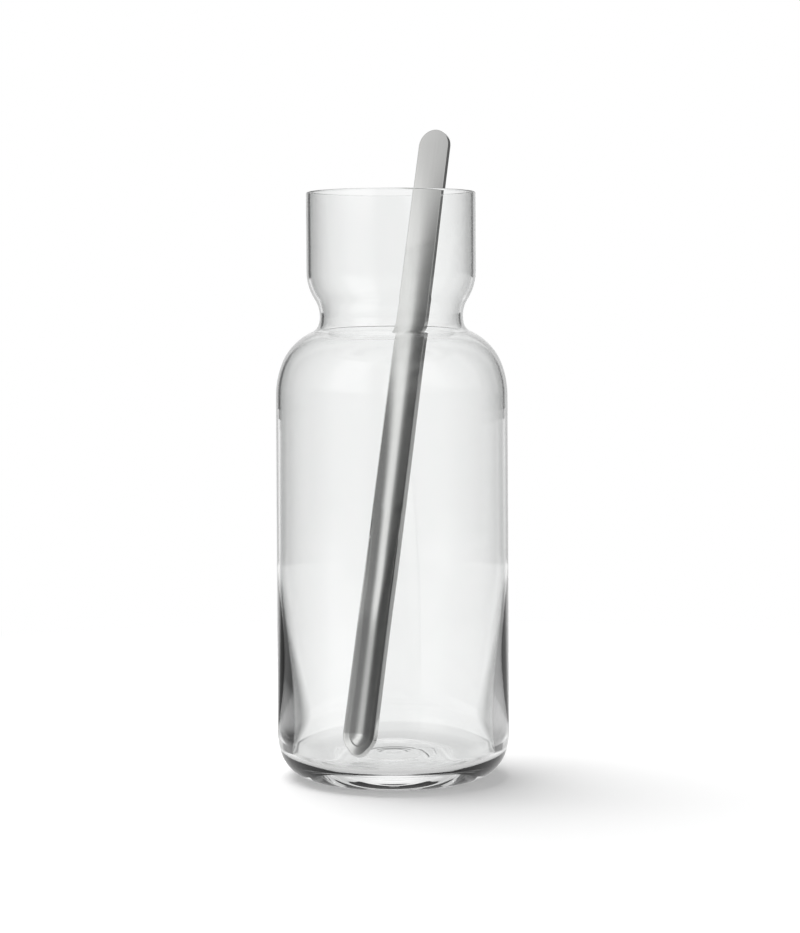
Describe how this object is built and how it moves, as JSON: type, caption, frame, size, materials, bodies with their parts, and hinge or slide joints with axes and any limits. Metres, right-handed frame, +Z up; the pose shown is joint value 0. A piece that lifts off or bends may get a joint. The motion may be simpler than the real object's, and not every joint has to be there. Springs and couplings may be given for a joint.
{
  "type": "cocktail pitcher",
  "caption": "Tall clear glass pitcher with a straight collar, a narrow waist, round shoulders and a thick foot, and a steel gutter-shaped stirrer that stands in it and lifts out.",
  "frame": {"origin": "middle of the flat foot, on the table", "axes": "+Z up along the pitcher's axis, -Y towards the viewer of the picture, +X to the right"},
  "size_m": [0.095, 0.095, 0.2659],
  "materials": {
    "clear_glass": "clear, colourless, fire polished",
    "stainless_steel": "fine satin polish, nearly a mirror along its length"
  },
  "bodies": {
    "pitcher": {"glass_pitcher": "clear_glass"},
    "stirrer": {"stirrer": "stainless_steel"}
  },
  "joints": [
    {"name": "stirrer_lift", "type": "slide", "parent": "pitcher", "child": "stirrer", "axis": [0, 0, 1], "range_m": [0, 0.235]}
  ]
}
